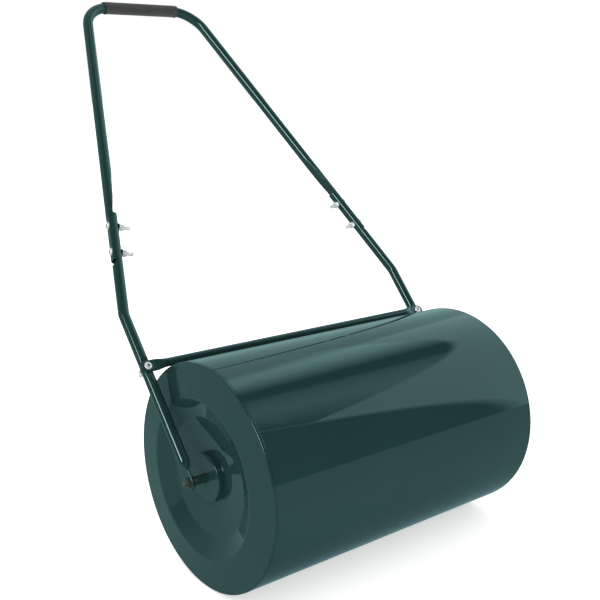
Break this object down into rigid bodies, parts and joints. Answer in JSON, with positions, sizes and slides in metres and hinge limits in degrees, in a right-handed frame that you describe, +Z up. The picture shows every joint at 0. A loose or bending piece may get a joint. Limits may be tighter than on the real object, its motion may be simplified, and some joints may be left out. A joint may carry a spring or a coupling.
{
  "type": "lawn roller",
  "caption": "Push lawn roller: hollow steel drum with dished ends on a through axle, two bolted tubular arms, cross brace and U-shaped handle with a foam grip.",
  "frame": {"origin": "on the ground straight below the middle of the drum", "axes": "+X forward, +Y to the right end of the axle, +Z up"},
  "size_m": [0.7272, 0.5624, 0.8201],
  "materials": {
    "drum_paint": "high gloss dark green enamel",
    "frame_paint": "high gloss dark green enamel",
    "grip_foam": "matt closed-cell foam",
    "bush_nylon": "satin nylon",
    "gasket_rubber": "matt",
    "plug_plastic": "moulded, fine texture",
    "bare_steel": "drawn tube",
    "axle_steel": "dull plated",
    "zinc_steel": "bright zinc",
    "black_steel": "black oxide"
  },
  "bodies": {
    "frame": {"arm_left": "frame_paint", "arm_right": "frame_paint", "axle_nut_left": "axle_steel", "axle_nut_right": "axle_steel", "axle_rod": "axle_steel", "axle_washer_left": "axle_steel", "axle_washer_right": "axle_steel", "brace_bolt_left": "zinc_steel", "brace_bolt_right": "zinc_steel", "brace_nut_left": "zinc_steel", "brace_nut_right": "zinc_steel", "brace_washer_left": "zinc_steel", "brace_washer_right": "zinc_steel", "cross_brace": "frame_paint", "grip_sleeve": "grip_foam", "handle_bow": "frame_paint", "inner_nut_left": "axle_steel", "inner_nut_right": "axle_steel", "lap_bolts_left": "zinc_steel", "lap_bolts_right": "zinc_steel", "lap_nuts_left": "zinc_steel", "lap_nuts_right": "zinc_steel", "lap_washers_left": "black_steel", "lap_washers_right": "black_steel", "spacer_left": "frame_paint", "spacer_right": "frame_paint"},
    "drum": {"bush_left": "bush_nylon", "bush_right": "bush_nylon", "centre_tube": "bare_steel", "drum_shell": "drum_paint", "end_cap_left": "drum_paint", "end_cap_right": "drum_paint", "filler_collar": "drum_paint", "filler_gasket": "gasket_rubber", "hub_boss_left": "drum_paint", "hub_boss_right": "drum_paint"},
    "plug": {"filler_plug": "plug_plastic"}
  },
  "joints": [
    {"name": "drum_spin", "type": "hinge", "parent": "frame", "child": "drum", "pos_m": [0, 0, 0.16], "axis": [0, 1, 0], "continuous": true},
    {"name": "plug_pull", "type": "slide", "parent": "drum", "child": "plug", "axis": [0, 1, 0], "range_m": [0, 0.06]}
  ]
}
